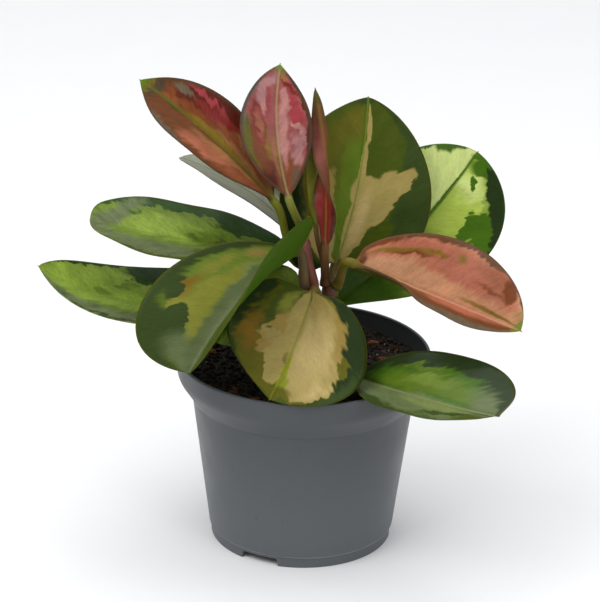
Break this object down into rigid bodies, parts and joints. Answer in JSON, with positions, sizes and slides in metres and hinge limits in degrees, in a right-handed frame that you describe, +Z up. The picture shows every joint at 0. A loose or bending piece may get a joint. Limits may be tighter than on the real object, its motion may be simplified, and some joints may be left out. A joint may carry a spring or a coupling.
{
  "type": "potted hoya",
  "caption": "Young hoya in a round tapered nursery pot: upright shoots with large pointed oval leaves that arch out over the rim, rooted in dark potting mix with bark.",
  "frame": {"origin": "centre of the pot's underside, on the surface that the pot stands on", "axes": "+Z up, along the pot's axis; -Y towards the side that the large round leaf hangs over; +X to the right seen from there"},
  "size_m": [0.2246, 0.1519, 0.2331],
  "materials": {
    "pot_plastic": "blue-grey satin plastic",
    "potting_mix": "dark fibrous potting mix",
    "stem_skin": "smooth green-brown stem skin",
    "young_leaf": "waxy pink young leaf",
    "green_leaf": "waxy green leaf with cream variegation",
    "bark": "rough bark"
  },
  "bodies": {
    "root": {"pot": "pot_plastic", "potting_mix": "potting_mix", "stem_front": "stem_skin", "stem_right": "stem_skin", "stem_back": "stem_skin", "leaf_pink_left": "young_leaf", "leaf_pink_centre": "young_leaf", "leaf_crimson_twisted": "young_leaf", "leaf_olive_narrow": "green_leaf", "leaf_back_upright": "green_leaf", "leaf_right_bright": "green_leaf", "leaf_salmon": "young_leaf", "leaf_rim_right": "green_leaf", "leaf_front_round": "green_leaf", "leaf_front_folded": "green_leaf", "leaf_left_upper": "green_leaf", "leaf_left_lower": "green_leaf", "leaf_grey_back": "green_leaf", "leaf_hidden_left": "green_leaf", "bark_chip_1": "bark", "bark_chip_2": "bark", "bark_chip_3": "bark", "bark_chip_4": "bark", "bark_chip_5": "bark", "bark_chip_6": "bark", "bark_chip_7": "bark", "bark_chip_8": "bark"}
  },
  "joints": []
}
